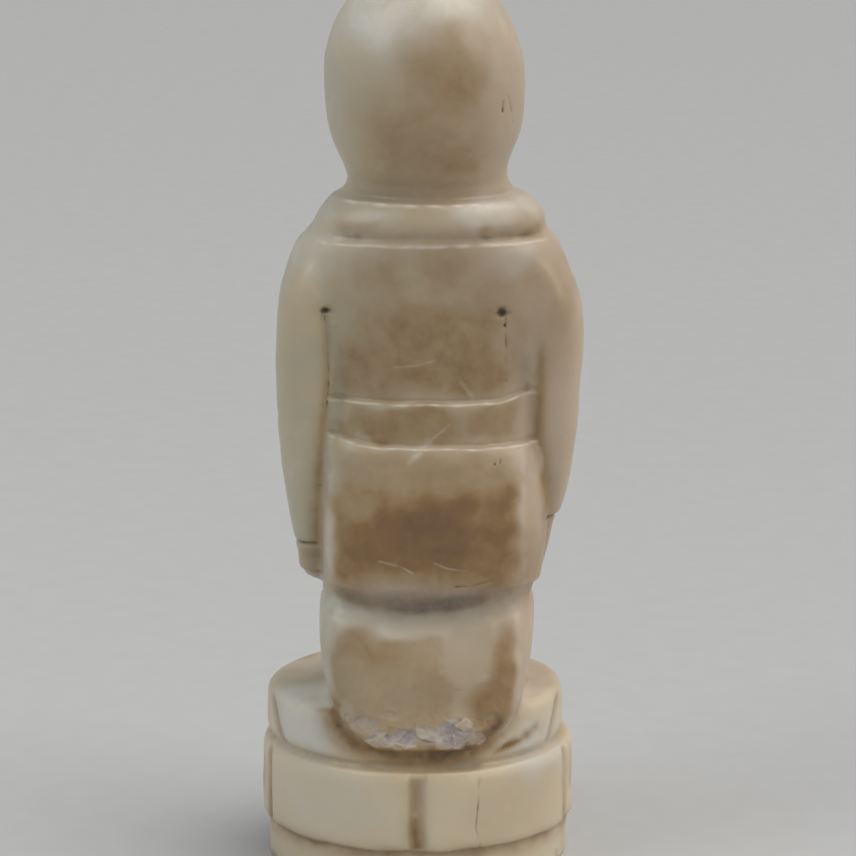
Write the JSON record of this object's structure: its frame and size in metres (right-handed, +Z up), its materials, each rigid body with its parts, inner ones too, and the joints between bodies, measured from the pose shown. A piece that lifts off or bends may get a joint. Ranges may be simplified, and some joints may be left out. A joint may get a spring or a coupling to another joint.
{
  "type": "jade buddha statue",
  "caption": "Small standing Buddha figure carved with its round stepped plinth from one block of stained pale jade, for standing on a shelf or altar.",
  "frame": {"origin": "centre of the round plinth's flat underside", "axes": "+Z up along the figure, -Y the way the figure faces, +X towards the figure's own left"},
  "size_m": [0.0433, 0.0422, 0.1244],
  "materials": {
    "jade": "polished pale jade with brown staining"
  },
  "bodies": {
    "root": {"jade_statue": "jade"}
  },
  "joints": []
}
